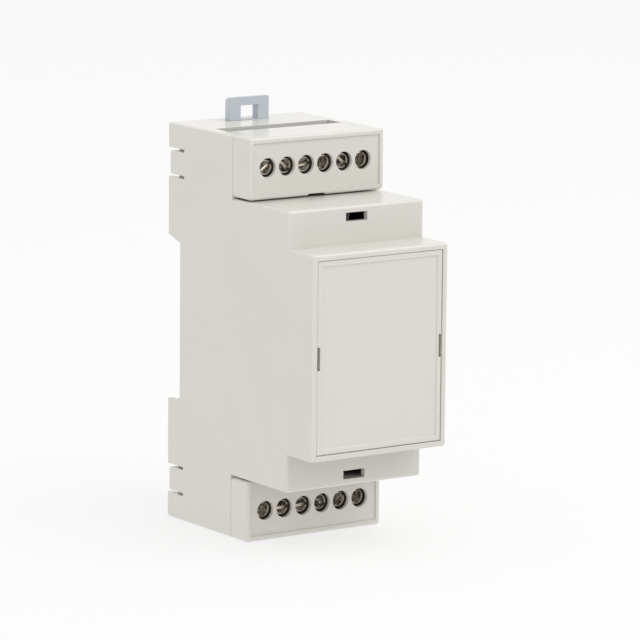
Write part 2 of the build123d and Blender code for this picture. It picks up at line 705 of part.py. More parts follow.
def can(spot, radius, height_up, node):
    """Electrolytic capacitor: a can with a rolled groove near its foot, on two leads."""
    foot = board_front + stand_off
    with BuildPart() as part:
        rod(*spot, radius, (foot, foot + height_up))
        fillet(part.edges().filter_by(GeomType.CIRCLE), radius=case_round)
        for side in (-1, 1):
            lead(spot[0] + side * radius / 2, spot[1], wire, foot + past)
    write(part, node)


def axial(rows, radius, length, span, node):
    """Leaded parts that lie along X, each body with its wires bent down to the board."""
    with BuildPart() as group:
        for x, z in rows:
            axis_d = board_front + stand_off + radius
            with BuildSketch(Plane.YZ.offset(x - length / 2)) as body:
                with Locations((y_at(axis_d), z)):
                    Circle(radius)
            extrude(body.sketch, amount=length)
            block((x - span / 2 - wire[0] / 2, x + span / 2 + wire[0] / 2),
                  (axis_d - wire[0] / 2, axis_d + wire[0] / 2), (z - wire[1] / 2, z + wire[1] / 2))
            for side in (-1, 1):
                lead(x + side * span / 2, z, wire, axis_d)
        fillet(group.edges().filter_by(GeomType.CIRCLE), radius=radius / 3)
    write(group, node)


with BuildPart() as film:
    half = (film_size[0] / 2, film_size[1] / 2)
    block((film_spot[0] - half[0], film_spot[0] + half[0]),
          (board_front + stand_off, board_front + stand_off + film_size[2]),
          (film_spot[1] - half[1], film_spot[1] + half[1]))
    fillet(film.edges().filter_by(Axis.Y) + film.faces().sort_by(Axis.Y)[0].edges(), radius=case_round)
    for side in (-1, 1):
        lead(film_spot[0] + side * film_lead, film_spot[1], wire, board_front + past)
write(film, "film_capacitor")

can(can_spot, can_radius, can_height, "smoothing_capacitor")
can(small_can_spot, small_can_radius, small_can_height, "output_capacitor")

with BuildPart() as varistor:
    disc_d = board_front + varistor_stand + varistor_radius
    with BuildSketch(Plane.XY.offset(varistor_spot[1] - varistor_thickness / 2)) as disc:
        with Locations((varistor_spot[0], y_at(disc_d))):
            Circle(varistor_radius)
    extrude(disc.sketch, amount=varistor_thickness)
    fillet(varistor.edges().filter_by(GeomType.CIRCLE), radius=varistor_thickness / 3)
    for side in (-1, 1):
        lead(varistor_spot[0] + side * varistor_lead, varistor_spot[1], wire, disc_d - lead_overlap)
write(varistor, "varistor")

with BuildPart() as bridge:
    half = (bridge_size[0] / 2, bridge_size[1] / 2)
    block((bridge_spot[0] - half[0], bridge_spot[0] + half[0]),
          (board_front + stand_off, board_front + stand_off + bridge_size[2]),
          (bridge_spot[1] - half[1], bridge_spot[1] + half[1]))
    fillet(bridge.faces().sort_by(Axis.Y)[0].edges(), radius=case_round / 2)
    for across in (-1, 1):
        for up in (-1, 1):
            lead(bridge_spot[0] + across * bridge_lead[0], bridge_spot[1] + up * bridge_lead[1], wire,
                 board_front + past)
write(bridge, "bridge_rectifier")

with BuildPart() as regulator:
    with BuildSketch(facing_front(board_front + regulator_stand)) as section:
        with Locations(regulator_spot):
            Circle(regulator_radius)
        with Locations((regulator_spot[0], regulator_spot[1] - regulator_radius)):
            Rectangle(2 * regulator_radius, regulator_radius, mode=Mode.SUBTRACT)
    extrude(section.sketch, amount=regulator_height)
    for step in (-1, 0, 1):
        lead(regulator_spot[0] + step * chip_pitch, regulator_spot[1], regulator_lead,
             board_front + regulator_stand + stand_off)
write(regulator, "voltage_regulator")

with BuildPart() as chip:
    half = (chip_size[0] / 2, chip_size[1] / 2)
    block((chip_spot[0] - half[0], chip_spot[0] + half[0]),
          (board_front + lead_gap, board_front + lead_gap + chip_size[2]),
          (chip_spot[1] - half[1], chip_spot[1] + half[1]))
    chamfer(chip.faces().sort_by(Axis.Y)[0].edges(), length=chip_chamfer)
write(chip, "controller_chip")

lead_width, lead_sheet, lead_rise, lead_reach = chip_lead
with BuildPart() as chip_leads:
    for i in range(chip_pins):
        x = chip_spot[0] + (i - (chip_pins - 1) / 2) * chip_pitch
        for side in (-1, 1):
            edge = chip_spot[1] + side * half[1]
            xs = (x - lead_width / 2, x + lead_width / 2)
            block(xs, (board_front, board_front + lead_rise), sorted((edge, edge + side * 2 * lead_sheet)))
            block(xs, (board_front, board_front + lead_sheet),
                  sorted((edge + side * lead_sheet, edge + side * lead_reach)))
write(chip_leads, "controller_leads")

axial(resistor_rows, resistor_radius, resistor_length, resistor_span, "resistors")
axial(diode_rows, diode_radius, diode_length, diode_span, "diodes")

with BuildPart() as chip_resistors:
    for z in chip_resistor_rows:
        for i in range(chips_in_row):
            x = chip_resistor_start + chip_resistor_pitch * i
            block((x, x + chip_part[0]), (board_front, board_front + chip_resistor_height),
                  (z, z + chip_part[1]))
write(chip_resistors, "chip_resistors")

with BuildPart() as chip_capacitors:
    for i in range(chips_in_row):
        x = chip_capacitor_start[0]
        z = chip_capacitor_start[1] + chip_capacitor_pitch * i
        block((x, x + chip_part[1]), (board_front, board_front + chip_capacitor_height),
              (z, z + chip_part[0]))
write(chip_capacitors, "chip_capacitors")

# ================================================================ main board
contact_row = contact_leg + contact_thickness / 2
for x in pole_xs:
    for z in (contact_row, height - contact_row):
        lead_holes.append((x, z, pin_width, contact_thickness))

with BuildPart() as board:
    block((-board_x, board_x), (board_back, board_front),
          (wall + board_end_gap, height - wall - board_end_gap))
    for x, z, across, up in lead_holes:
        lead_hole(x, z, across, up, (board_back - past, board_front + past))
    for zs in (arm_zs, (height - arm_zs[1], height - arm_zs[0])):
        block((-arm_size[0] / 2 - 2 * fit, arm_size[0] / 2 + 2 * fit),
              (board_back - past, board_front + past), (zs[0] - 2 * fit, zs[1] + 2 * fit),
              mode=Mode.SUBTRACT)
    for x, z in post_spots:
        rod(x, z, board_screw[2] / 2 + fit, (board_back - past, board_front + past), mode=Mode.SUBTRACT)
write(board, "main_board")

with BuildPart() as board_screws:
    for x, z in post_spots:
        rod(x, z, board_screw[0] / 2, (board_front, board_front + board_screw[1]))
        rod(x, z, board_screw[2] / 2, (floor_front + board_screw_tip, board_front))
        for turn in (0, 90):
            with BuildSketch(facing_front(board_front + board_screw[1])) as cross:
                with Locations((x, z)):
                    Rectangle(board_screw_cross[0], board_screw_cross[1], rotation=turn)
            extrude(cross.sketch, amount=-board_screw_cross[2], mode=Mode.SUBTRACT)
write(board_screws, "board_screws")
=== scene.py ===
# %% [markdown]
# A two-module control relay for a 35 mm rail, standing on its lower end. The moulded shells,
# the terminals and the relay mechanism come in as the fixed frame. This lesson gives each one
# the finish of its real material, and builds in geometry what the frame leaves plain: the
# threaded screws, the coil's winding, the printed circuit and the marks on the small parts.

# %% Load the frame
import math

import bmesh
import bpy
from mathutils import Matrix, Vector


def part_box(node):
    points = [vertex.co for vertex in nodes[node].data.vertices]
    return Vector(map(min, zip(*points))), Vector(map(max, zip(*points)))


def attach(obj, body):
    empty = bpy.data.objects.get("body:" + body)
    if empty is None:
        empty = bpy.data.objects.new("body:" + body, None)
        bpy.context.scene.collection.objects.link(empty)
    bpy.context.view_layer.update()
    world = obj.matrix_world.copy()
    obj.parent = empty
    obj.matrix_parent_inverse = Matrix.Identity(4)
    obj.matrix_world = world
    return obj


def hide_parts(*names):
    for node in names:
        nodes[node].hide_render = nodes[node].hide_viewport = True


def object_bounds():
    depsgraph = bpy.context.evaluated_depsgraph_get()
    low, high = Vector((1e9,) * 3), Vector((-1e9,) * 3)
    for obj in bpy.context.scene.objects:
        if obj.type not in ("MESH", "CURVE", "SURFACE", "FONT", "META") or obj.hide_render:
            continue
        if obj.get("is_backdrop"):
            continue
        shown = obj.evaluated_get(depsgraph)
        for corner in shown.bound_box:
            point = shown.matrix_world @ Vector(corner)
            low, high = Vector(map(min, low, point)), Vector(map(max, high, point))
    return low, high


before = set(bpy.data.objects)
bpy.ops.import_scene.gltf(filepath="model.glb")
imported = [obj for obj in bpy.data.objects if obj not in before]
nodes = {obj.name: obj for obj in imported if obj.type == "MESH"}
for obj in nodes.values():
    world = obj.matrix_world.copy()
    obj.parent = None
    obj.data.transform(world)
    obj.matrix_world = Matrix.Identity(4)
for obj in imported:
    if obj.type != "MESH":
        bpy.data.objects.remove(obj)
cad_low, cad_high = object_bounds()
mm = 0.001
print("frame box in mm", [round(v / mm, 2) for v in (*cad_low, *cad_high)])

# %% [markdown]
# Every size below is in millimetres and is turned to metres by `mm`. The places of the screws,
# the board and the relay are read from the frame's own boxes, so a piece made here lands where
# the frame has it.

# %% Places read from the frame
ENDS = ("upper", "lower")
POLES = range(1, 7)
screw_boxes = {(end, i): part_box(f"{end}_screw_{i}") for end in ENDS for i in POLES}
board_low, board_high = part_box("main_board")
print("board", [round(v / mm, 2) for v in (*board_low, *board_high)])


# %% [markdown]
# Two small helpers serve all the materials. Colours are picked as sRGB hex values, as on a
# paint card, and the renderer wants linear light, so one function turns hex to linear. The
# other adds a shader node, sets its plain properties and inputs, and links its inputs.

# %% Helpers for materials
def linear(hex_colour, alpha=1.0):
    """Linear RGBA of an sRGB hex colour such as "#d9d7d1"."""
    parts = [int(hex_colour[i:i + 2], 16) / 255 for i in (1, 3, 5)]
    return tuple(p / 12.92 if p <= 0.04045 else ((p + 0.055) / 1.055) ** 2.4 for p in parts) + (alpha,)


def add(tree, kind, props=None, values=None, links=None):
    """Add a node, set its properties and input values, and link inputs to other sockets."""
    node = tree.nodes.new(kind)
    for name, value in (props or {}).items():
        setattr(node, name, value)
    for name, value in (values or {}).items():
        node.inputs[name].default_value = value
    for name, socket in (links or {}).items():
        tree.links.new(socket, node.inputs[name])
    return node


def new_material(name, **shader_values):
    """Material with one Principled shader; uniform values go on the shader's own sockets."""
    material = bpy.data.materials.new(name)
    material.use_nodes = True
    shader = material.node_tree.nodes["Principled BSDF"]
    for socket, value in shader_values.items():
        shader.inputs[socket.replace("_", " ")].default_value = value
    return material, material.node_tree, shader


# %% [markdown]
# ## Moulded shells
# The housing is ABS, injection moulded in a spark-eroded steel tool. That leaves an even satin
# skin: it mirrors clearly only at a flat angle, its colour drifts very slightly where the melt
# flowed, and its handled edges are a little smoother than its faces. A picture texture would
# have to be unwrapped for each shell, so the skin is noise on Object coordinates, with scales
# worked out from sizes in millimetres.

# %% Moulded plastic
def moulded_plastic(name, colour, shade, roughness, grain_mm=0.35, grain_depth_mm=0.004,
                    edge_mm=0.12, ior=1.53):
    """Opaque moulded plastic: slow colour drift, fine tool grain, softened edges."""
    material, tree, shader = new_material(name, IOR=ior)
    place = add(tree, "ShaderNodeTexCoord").outputs["Object"]
    drift = add(tree, "ShaderNodeTexNoise", {"noise_dimensions": "3D"},
                {"Scale": 1 / (14 * mm), "Detail": 2.0, "Roughness": 0.5}, {"Vector": place})
    mix = add(tree, "ShaderNodeMix", {"data_type": "RGBA"}, {6: linear(colour), 7: linear(shade)},
              {"Factor": drift.outputs["Fac"]})
    tree.links.new(mix.outputs[2], shader.inputs["Base Color"])

    grain = add(tree, "ShaderNodeTexNoise", None,
                {"Scale": 1 / (grain_mm * mm), "Detail": 2.0, "Roughness": 0.6}, {"Vector": place})
    polish = add(tree, "ShaderNodeMapRange", None,
                 {"From Min": 0.3, "From Max": 0.7, "To Min": roughness - 0.03, "To Max": roughness + 0.03},
                 {"Value": grain.outputs["Fac"]})
    tree.links.new(polish.outputs["Result"], shader.inputs["Roughness"])

    rounded = add(tree, "ShaderNodeBevel", {"samples": 4}, {"Radius": edge_mm * mm})
    bump = add(tree, "ShaderNodeBump", None, {"Strength": 0.5, "Distance": grain_depth_mm * mm},
               {"Height": grain.outputs["Fac"], "Normal": rounded.outputs["Normal"]})
    tree.links.new(bump.outputs["Normal"], shader.inputs["Normal"])
    return material


HOUSING = moulded_plastic("moulded_ABS_light_grey", "#d3d1cb", "#d0cdc6", 0.22)
PANEL = moulded_plastic("moulded_ABS_panel_grey", "#d3d1cc", "#d1cfc9", 0.24)
BASE = moulded_plastic("moulded_ABS_base_grey", "#cecbc4", "#cac7bf", 0.3)
CLIP = moulded_plastic("moulded_nylon_blue_grey", "#bac2c7", "#b5bdc2", 0.3, grain_mm=0.5)
# The terminal blocks' warm near-black is painted shade: it stands in for the dark brown shade deep in the
# screw wells and slots.
TERMINAL_PAINTED_SHADE = moulded_plastic("terminal_nylon_painted_shade_black", "#2b2620", "#332d26", 0.45, grain_mm=0.25,
                           grain_depth_mm=0.01)

# %% [markdown]
# The parts on the board use the same recipe with other colours. Epoxy moulding compound is
# matt black with a coarse fill, phenolic and PBT are smoother, and the film capacitor's box
# is glossy yellow.

# %% Plastics of the small parts
SMALL_BLACK = moulded_plastic("epoxy_moulding_compound", "#222120", "#2a2927", 0.5, 0.12, 0.006, 0.06)
FILM_BOX = moulded_plastic("PBT_box_yellow", "#d9a92b", "#d2a024", 0.25, 0.6, 0.003, 0.1)
VARISTOR_COAT = moulded_plastic("epoxy_dip_blue", "#23509a", "#1d468c", 0.3, 1.2, 0.05, 0.1)
BOBBIN = moulded_plastic("PBT_bobbin_white", "#d8d4c6", "#d0cbbb", 0.4, 0.3, 0.005, 0.08)
RELAY_FOOT = moulded_plastic("PBT_base_black", "#1c1c1d", "#242425", 0.42, 0.3, 0.006, 0.08)
CERAMIC = moulded_plastic("fired_ceramic_tan", "#a58b68", "#977d5b", 0.45, 0.2, 0.004, 0.04, ior=1.6)

# %% [markdown]
# ## Metals
# The clamps and screws are zinc-plated steel, the contacts and leads are tinned brass and
# copper, and the relay's iron is nickel-plated. Each has the same kind of fine uneven polish
# from barrel plating, so one function makes them all and only colour and polish differ.

# %% Metals
def plated_metal(name, colour, roughness, grain_mm=0.3, depth_mm=0.003):
    """Plated or drawn metal with a fine uneven polish."""
    material, tree, shader = new_material(name, Metallic=1.0, Base_Color=linear(colour))
    place = add(tree, "ShaderNodeTexCoord").outputs["Object"]
    grain = add(tree, "ShaderNodeTexNoise", None,
                {"Scale": 1 / (grain_mm * mm), "Detail": 3.0}, {"Vector": place})
    polish = add(tree, "ShaderNodeMapRange", None,
                 {"To Min": roughness - 0.06, "To Max": roughness + 0.08}, {"Value": grain.outputs["Fac"]})
    tree.links.new(polish.outputs["Result"], shader.inputs["Roughness"])
    bump = add(tree, "ShaderNodeBump", None, {"Strength": 0.6, "Distance": depth_mm * mm},
               {"Height": grain.outputs["Fac"]})
    tree.links.new(bump.outputs["Normal"], shader.inputs["Normal"])
    return material


CLAMP = plated_metal("zinc_plated_clamp", "#c2bfb6", 0.3)
TINNED = plated_metal("tinned_brass", "#cdc6b2", 0.3)
LEAD = plated_metal("tinned_copper_wire", "#cfccc6", 0.26, 0.15)
NICKEL = plated_metal("nickel_plated_iron", "#b9b6ae", 0.28)
COPPER = plated_metal("enamelled_copper", "#b8622c", 0.3, 0.2)
SPRING = plated_metal("beryllium_copper_strip", "#c99a5b", 0.27)
SILVER = plated_metal("silver_contact", "#dddbd6", 0.2)
SOLDER = plated_metal("tin_solder", "#c9cacb", 0.2, 0.5, 0.01)


# %% [markdown]
# A terminal screw is turned from bar, so its head carries fine rings round its own axis. The
# twelve screws stand in two rows with one pitch, so the pattern folds X by that pitch and Z
# about the housing's middle, and one material fits every screw. Real rings are 0.05 mm apart;
# they are drawn 0.2 mm apart so that they show.

# %% Turned steel
def turned_steel(name, colour, roughness, first_axis, pitch, ring_mm=0.2):
    """Zinc-plated turned steel with rings round axes that repeat along X and mirror in Z."""
    material, tree, shader = new_material(name, Metallic=1.0, Base_Color=linear(colour))
    place = add(tree, "ShaderNodeTexCoord").outputs["Object"]
    parts = add(tree, "ShaderNodeSeparateXYZ", None, None, {"Vector": place})
    shift = add(tree, "ShaderNodeMath", {"operation": "SUBTRACT"},
                {1: first_axis[0] - pitch / 2}, {0: parts.outputs["X"]})
    fold = add(tree, "ShaderNodeMath", {"operation": "FLOORED_MODULO"}, {1: pitch}, {0: shift.outputs[0]})
    across = add(tree, "ShaderNodeMath", {"operation": "SUBTRACT"}, {1: pitch / 2}, {0: fold.outputs[0]})
    middle = (cad_low.z + first_axis[1] + first_axis[2]) / 2
    off = add(tree, "ShaderNodeMath", {"operation": "SUBTRACT"}, {1: middle}, {0: parts.outputs["Z"]})
    size = add(tree, "ShaderNodeMath", {"operation": "ABSOLUTE"}, None, {0: off.outputs[0]})
    up = add(tree, "ShaderNodeMath", {"operation": "SUBTRACT"}, {1: first_axis[1] - middle},
             {0: size.outputs[0]})
    flat = add(tree, "ShaderNodeCombineXYZ", None, None, {"X": across.outputs[0], "Y": up.outputs[0]})
    radius = add(tree, "ShaderNodeVectorMath", {"operation": "LENGTH"}, None, {0: flat.outputs[0]})
    turns = add(tree, "ShaderNodeMath", {"operation": "MULTIPLY"}, {1: 2 * math.pi / (ring_mm * mm)},
                {0: radius.outputs["Value"]})
    wave = add(tree, "ShaderNodeMath", {"operation": "SINE"}, None, {0: turns.outputs[0]})
    stain = add(tree, "ShaderNodeTexNoise", None, {"Scale": 1 / (1.1 * mm), "Detail": 3.0}, {"Vector": place})
    polish = add(tree, "ShaderNodeMapRange", None,
                 {"From Min": 0.3, "From Max": 0.7, "To Min": roughness - 0.05, "To Max": roughness + 0.12},
                 {"Value": stain.outputs["Fac"]})
    tree.links.new(polish.outputs["Result"], shader.inputs["Roughness"])
    bump = add(tree, "ShaderNodeBump", None, {"Strength": 0.5, "Distance": 0.0003 * mm},
               {"Height": wave.outputs[0]})
    tree.links.new(bump.outputs["Normal"], shader.inputs["Normal"])
    return material


ZINC = turned_steel("zinc_plated_turned_steel", "#dcd5c8", 0.16,
                    (-12.95 * mm, 83.5 * mm, 6.7 * mm), 5.08 * mm)


# %% [markdown]
# ## Board and marked parts
# The board is glass-fibre laminate under green solder mask. The weave of the glass shows
# through as a faint grid with a 0.5 mm thread. Resistors and diodes carry painted bands, which
# are steps in colour along X, because all of them lie that way.

# %% Board and banded bodies
def solder_mask(name, colour, shade):
    """Green solder mask over glass weave."""
    material, tree, shader = new_material(name, Roughness=0.22, IOR=1.55)
    place = add(tree, "ShaderNodeTexCoord").outputs["Object"]
    weave = add(tree, "ShaderNodeTexBrick", {"offset": 0.5},
                {"Scale": 1.0, "Mortar Size": 0.00008, "Brick Width": 0.5 * mm, "Row Height": 0.5 * mm,
                 "Color1": linear(colour), "Color2": linear(shade), "Mortar": linear(shade)})
    turn = add(tree, "ShaderNodeMapping", None, {"Rotation": (math.pi / 2, 0, 0)}, {"Vector": place})
    tree.links.new(turn.outputs["Vector"], weave.inputs["Vector"])
    tree.links.new(weave.outputs["Color"], shader.inputs["Base Color"])
    bump = add(tree, "ShaderNodeBump", None, {"Strength": 0.3, "Distance": 0.01 * mm},
               {"Height": weave.outputs["Fac"]})
    tree.links.new(bump.outputs["Normal"], shader.inputs["Normal"])
    return material


def banded(name, axis, bands, roughness=0.35):
    """Enamelled body with constant colour steps along one axis; bands are (position, colour)."""
    material, tree, shader = new_material(name, IOR=1.5)
    place = add(tree, "ShaderNodeTexCoord").outputs["Object"]
    parts = add(tree, "ShaderNodeSeparateXYZ", None, None, {"Vector": place})
    low, high = bands[0][0], bands[-1][0] + 1.0
    along = add(tree, "ShaderNodeMapRange", None, {"From Min": low * mm, "From Max": high * mm},
                {"Value": parts.outputs[axis]})
    ramp = add(tree, "ShaderNodeValToRGB", None, None, {"Fac": along.outputs["Result"]})
    ramp.color_ramp.interpolation = "CONSTANT"
    steps = ramp.color_ramp.elements
    steps[0].position, steps[0].color = 0.0, linear(bands[0][1])
    steps[1].position, steps[1].color = (bands[1][0] - low) / (high - low), linear(bands[1][1])
    for position, colour in bands[2:]:
        step = steps.new((position - low) / (high - low))
        step.color = linear(colour)
    tree.links.new(ramp.outputs["Color"], shader.inputs["Base Color"])
    sheen = add(tree, "ShaderNodeTexNoise", None, {"Scale": 1 / (0.6 * mm), "Detail": 2.0}, {"Vector": place})
    polish = add(tree, "ShaderNodeMapRange", None,
                 {"To Min": roughness - 0.08, "To Max": roughness + 0.08}, {"Value": sheen.outputs["Fac"]})
    tree.links.new(polish.outputs["Result"], shader.inputs["Roughness"])
    return material


BOARD = solder_mask("glass_epoxy_solder_mask", "#1d5a35", "#1b5331")
TRACK = solder_mask("solder_mask_over_copper", "#2f7a44", "#2b7340")
low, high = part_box("resistors")
middle = (low.x + high.x) / 2 / mm
RESISTOR = banded("lacquered_film_resistor", "X", [
    (middle - 7, "#c9c6bf"), (middle - 3.15, "#c7b48a"),
    (middle - 2.2, "#6b3a1d"), (middle - 1.6, "#c7b48a"),
    (middle - 1.0, "#191817"), (middle - 0.4, "#c7b48a"),
    (middle + 0.2, "#b5281f"), (middle + 0.8, "#c7b48a"),
    (middle + 1.7, "#b38b3a"), (middle + 2.3, "#c7b48a"), (middle + 3.15, "#c9c6bf")])
low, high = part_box("diodes")
middle = (low.x + high.x) / 2 / mm
DIODE = banded("moulded_diode", "X", [
    (middle - 6, "#c9c6bf"), (middle - 2.2, "#201f1e"), (middle + 1.0, "#cfccc4"), (middle + 1.6, "#201f1e"),
    (middle + 2.2, "#c9c6bf")])
low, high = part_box("smoothing_capacitor")
CAN = banded("sleeved_aluminium_can", "Y", [
    (low.y / mm - 1, "#b9babb"), (low.y / mm + 0.5, "#23262f"), (high.y / mm - 4.2, "#c9c6bf")], 0.3)
low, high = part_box("output_capacitor")
SMALL_CAN = banded("sleeved_aluminium_small_can", "Y", [
    (low.y / mm - 1, "#b9babb"), (low.y / mm + 0.5, "#23262f"), (high.y / mm - 4.2, "#c9c6bf")], 0.3)

# %% [markdown]
# The relay's cover is clear polycarbonate with a faint smoky tint, so that the coil and the
# contacts can be seen at work. It has no pattern of its own beyond a very slight waviness.

# %% Clear cover
CLEAR, tree, shader = new_material("clear_polycarbonate", IOR=1.585, Roughness=0.06,
                                   Base_Color=linear("#d5dde0"), Transmission_Weight=1.0)
place = add(tree, "ShaderNodeTexCoord").outputs["Object"]
waves = add(tree, "ShaderNodeTexNoise", None, {"Scale": 1 / (3.0 * mm), "Detail": 1.0}, {"Vector": place})
bump = add(tree, "ShaderNodeBump", None, {"Strength": 0.3, "Distance": 0.02 * mm},
           {"Height": waves.outputs["Fac"]})
tree.links.new(bump.outputs["Normal"], shader.inputs["Normal"])

# %% Finishes by node
finish = {
    "housing_cover": HOUSING, "upper_terminal_guard": HOUSING, "lower_terminal_guard": HOUSING,
    "front_panel": PANEL, "rear_base": BASE, "din_clip": CLIP,
    "upper_terminal_block": TERMINAL_PAINTED_SHADE, "lower_terminal_block": TERMINAL_PAINTED_SHADE,
    "upper_terminal_contacts": TINNED, "lower_terminal_contacts": TINNED,
    "main_board": BOARD, "board_screws": CLAMP,
    "relay_base": RELAY_FOOT, "relay_cover": CLEAR, "relay_bobbin": BOBBIN, "relay_coil": COPPER,
    "relay_core": NICKEL, "relay_yoke": NICKEL, "relay_armature": NICKEL, "relay_contact_arm": SPRING,
    "relay_fixed_contacts": SILVER, "relay_pins": LEAD,
    "film_capacitor": FILM_BOX, "smoothing_capacitor": CAN, "output_capacitor": SMALL_CAN,
    "varistor": VARISTOR_COAT, "bridge_rectifier": SMALL_BLACK, "voltage_regulator": SMALL_BLACK,
    "controller_chip": SMALL_BLACK, "controller_leads": LEAD, "resistors": RESISTOR, "diodes": DIODE,
    "chip_resistors": SMALL_BLACK, "chip_capacitors": CERAMIC,
}
for end in ENDS:
    for i in POLES:
        finish[f"{end}_screw_{i}"] = ZINC
        finish[f"{end}_clamp_{i}"] = CLAMP
for name, node in nodes.items():
    node.data.materials.clear()
    node.data.materials.append(finish[name])
print("finished", len(nodes), "frame nodes with", len(set(finish.values())), "materials")


# %% [markdown]
# ## Geometry Nodes helpers
# What repeats or follows a rule is grown by a node tree, with its sizes as named inputs. The
# tree is put on a small helper object, its inputs are set by their socket identifiers, and the
# evaluated result is copied to a plain mesh. The helper is then removed.

# %% Grow a mesh from a node tree
def new_tree(name, sizes):
    """Geometry Nodes tree with named inputs and a material input."""
    tree = bpy.data.node_groups.new(name, "GeometryNodeTree")
    tree.interface.new_socket("Geometry", in_out="INPUT", socket_type="NodeSocketGeometry")
    for label, value in sizes.items():
        kind = "NodeSocketInt" if isinstance(value, int) else "NodeSocketFloat"
        tree.interface.new_socket(label, in_out="INPUT", socket_type=kind).default_value = value
    tree.interface.new_socket("Material", in_out="INPUT", socket_type="NodeSocketMaterial")
    tree.interface.new_socket("Geometry", in_out="OUTPUT", socket_type="NodeSocketGeometry")
    return tree, tree.nodes.new("NodeGroupInput")


def close_tree(tree, inputs, shape):
    """End a tree in Realize Instances and Set Material."""
    real = add(tree, "GeometryNodeRealizeInstances", None, None, {"Geometry": shape})
    coat = add(tree, "GeometryNodeSetMaterial", None, None,
               {"Geometry": real.outputs[0], "Material": inputs.outputs["Material"]})
    tree.links.new(coat.outputs[0], tree.nodes.new("NodeGroupOutput").inputs[0])


def calc(tree, operation, first, second=None, third=None):
    """Math node whose inputs are sockets or plain numbers; gives its output."""
    values, links = {}, {}
    for index, item in enumerate((first, second, third)):
        if item is not None:
            (values if isinstance(item, (int, float)) else links)[index] = item
    return add(tree, "ShaderNodeMath", {"operation": operation}, values, links).outputs[0]


def grow(name, tree, material, sizes=None, start=None):
    """Evaluate a tree on a helper object and return the result as a plain object."""
    mesh = start or bpy.data.meshes.new(name + "_start")
    helper = bpy.data.objects.new(name + "_helper", mesh)
    bpy.context.scene.collection.objects.link(helper)
    modifier = helper.modifiers.new("grow", "NODES")
    modifier.node_group = tree
    sockets = {item.name: item.identifier for item in tree.interface.items_tree if item.in_out == "INPUT"}
    for label, value in (sizes or {}).items():
        modifier[sockets[label]] = value
    modifier[sockets["Material"]] = material
    graph = bpy.context.evaluated_depsgraph_get()
    result = bpy.data.meshes.new_from_object(helper.evaluated_get(graph))
    bpy.data.objects.remove(helper)
    result.name = name
    piece = bpy.data.objects.new(name, result)
    bpy.context.scene.collection.objects.link(piece)
    return piece


# %% [markdown]
# ## Terminal screws
# Each terminal has an M3 cheese-head screw: a head with a rounded rim and a slot, a 0.5 mm thread and
# a short cone at its tip. A lathe's profile could be spun, but a thread isn't round, so the
# shank is a grid wrapped into a tube whose radius rises and falls with the angle and the way
# along the axis. The head is a second wrapped grid, and the slot is cut by a boolean.

# %% Screw tree
SCREW = {"Head Radius": 1.9 * mm, "Head Height": 2.0 * mm, "Rounding": 0.45 * mm, "Slot Width": 0.7 * mm,
         "Slot Depth": 1.0 * mm, "Crest Radius": 1.45 * mm, "Thread Depth": 0.28 * mm, "Pitch": 0.5 * mm,
         "Shank Length": 9.9 * mm, "Slot Turn": 0.0, "Around": 40, "Rows": 161}
tree, given = new_tree("machine_screw", SCREW)
size = given.outputs


def wrapped_grid(tree, around, rows):
    """Grid with its row share (0 to 1) and its angle as fields."""
    grid = add(tree, "GeometryNodeMeshGrid", None, {"Size X": 1.0, "Size Y": 1.0})
    for label, item in (("Vertices X", around), ("Vertices Y", rows)):
        if isinstance(item, int):
            grid.inputs[label].default_value = item
        else:
            tree.links.new(item, grid.inputs[label])
    place = add(tree, "ShaderNodeSeparateXYZ", None, None,
                {"Vector": add(tree, "GeometryNodeInputPosition").outputs[0]})
    share = calc(tree, "ADD", place.outputs["Y"], 0.5)
    angle = calc(tree, "MULTIPLY", place.outputs["X"], 2 * math.pi)
    return grid.outputs["Mesh"], share, angle


def wrap(tree, mesh, radius, along, angle):
    """Move a grid's points to a tube about Y and weld its seam and poles."""
    spot = add(tree, "ShaderNodeCombineXYZ", None, None, {
        "X": calc(tree, "MULTIPLY", radius, calc(tree, "COSINE", angle)), "Y": along,
        "Z": calc(tree, "MULTIPLY", radius, calc(tree, "SINE", angle))})
    moved = add(tree, "GeometryNodeSetPosition", None, None, {"Geometry": mesh, "Position": spot.outputs[0]})
    weld = add(tree, "GeometryNodeMergeByDistance", None, {"Distance": 0.002 * mm},
               {"Geometry": moved.outputs[0]})
    return weld.outputs[0]


shank, share, angle = wrapped_grid(tree, size["Around"], size["Rows"])
along = calc(tree, "MULTIPLY", share, size["Shank Length"])
turn = calc(tree, "ADD", calc(tree, "DIVIDE", along, size["Pitch"]), calc(tree, "DIVIDE", angle, 2 * math.pi))
ridge = calc(tree, "MULTIPLY", calc(tree, "PINGPONG", turn, 0.5), 2.0)
flank = calc(tree, "MULTIPLY", ridge, size["Thread Depth"])
threaded = calc(tree, "SUBTRACT", size["Crest Radius"], flank)
tip = calc(tree, "ADD", calc(tree, "SUBTRACT", size["Shank Length"], along), 1.0 * mm)
closed = calc(tree, "COMPARE", calc(tree, "PINGPONG", share, 0.5), 0.0, 0.0001)
radius = calc(tree, "MULTIPLY", calc(tree, "MINIMUM", threaded, tip), calc(tree, "SUBTRACT", 1.0, closed))
shank_shape = wrap(tree, shank, radius, along, angle)

head, share, angle = wrapped_grid(tree, 65, 11)
row = calc(tree, "ROUND", calc(tree, "MULTIPLY", share, 10.0))


def profile(tree, row, stops):
    """Value of a profile at each row: a number or a socket for every stop."""
    switch = add(tree, "GeometryNodeIndexSwitch", {"data_type": "FLOAT"}, None, {"Index": row})
    while len(switch.index_switch_items) < len(stops):
        switch.index_switch_items.new()
    for index, stop in enumerate(stops):
        if isinstance(stop, (int, float)):
            switch.inputs[index + 1].default_value = stop
        else:
            tree.links.new(stop, switch.inputs[index + 1])
    return switch.outputs[0]


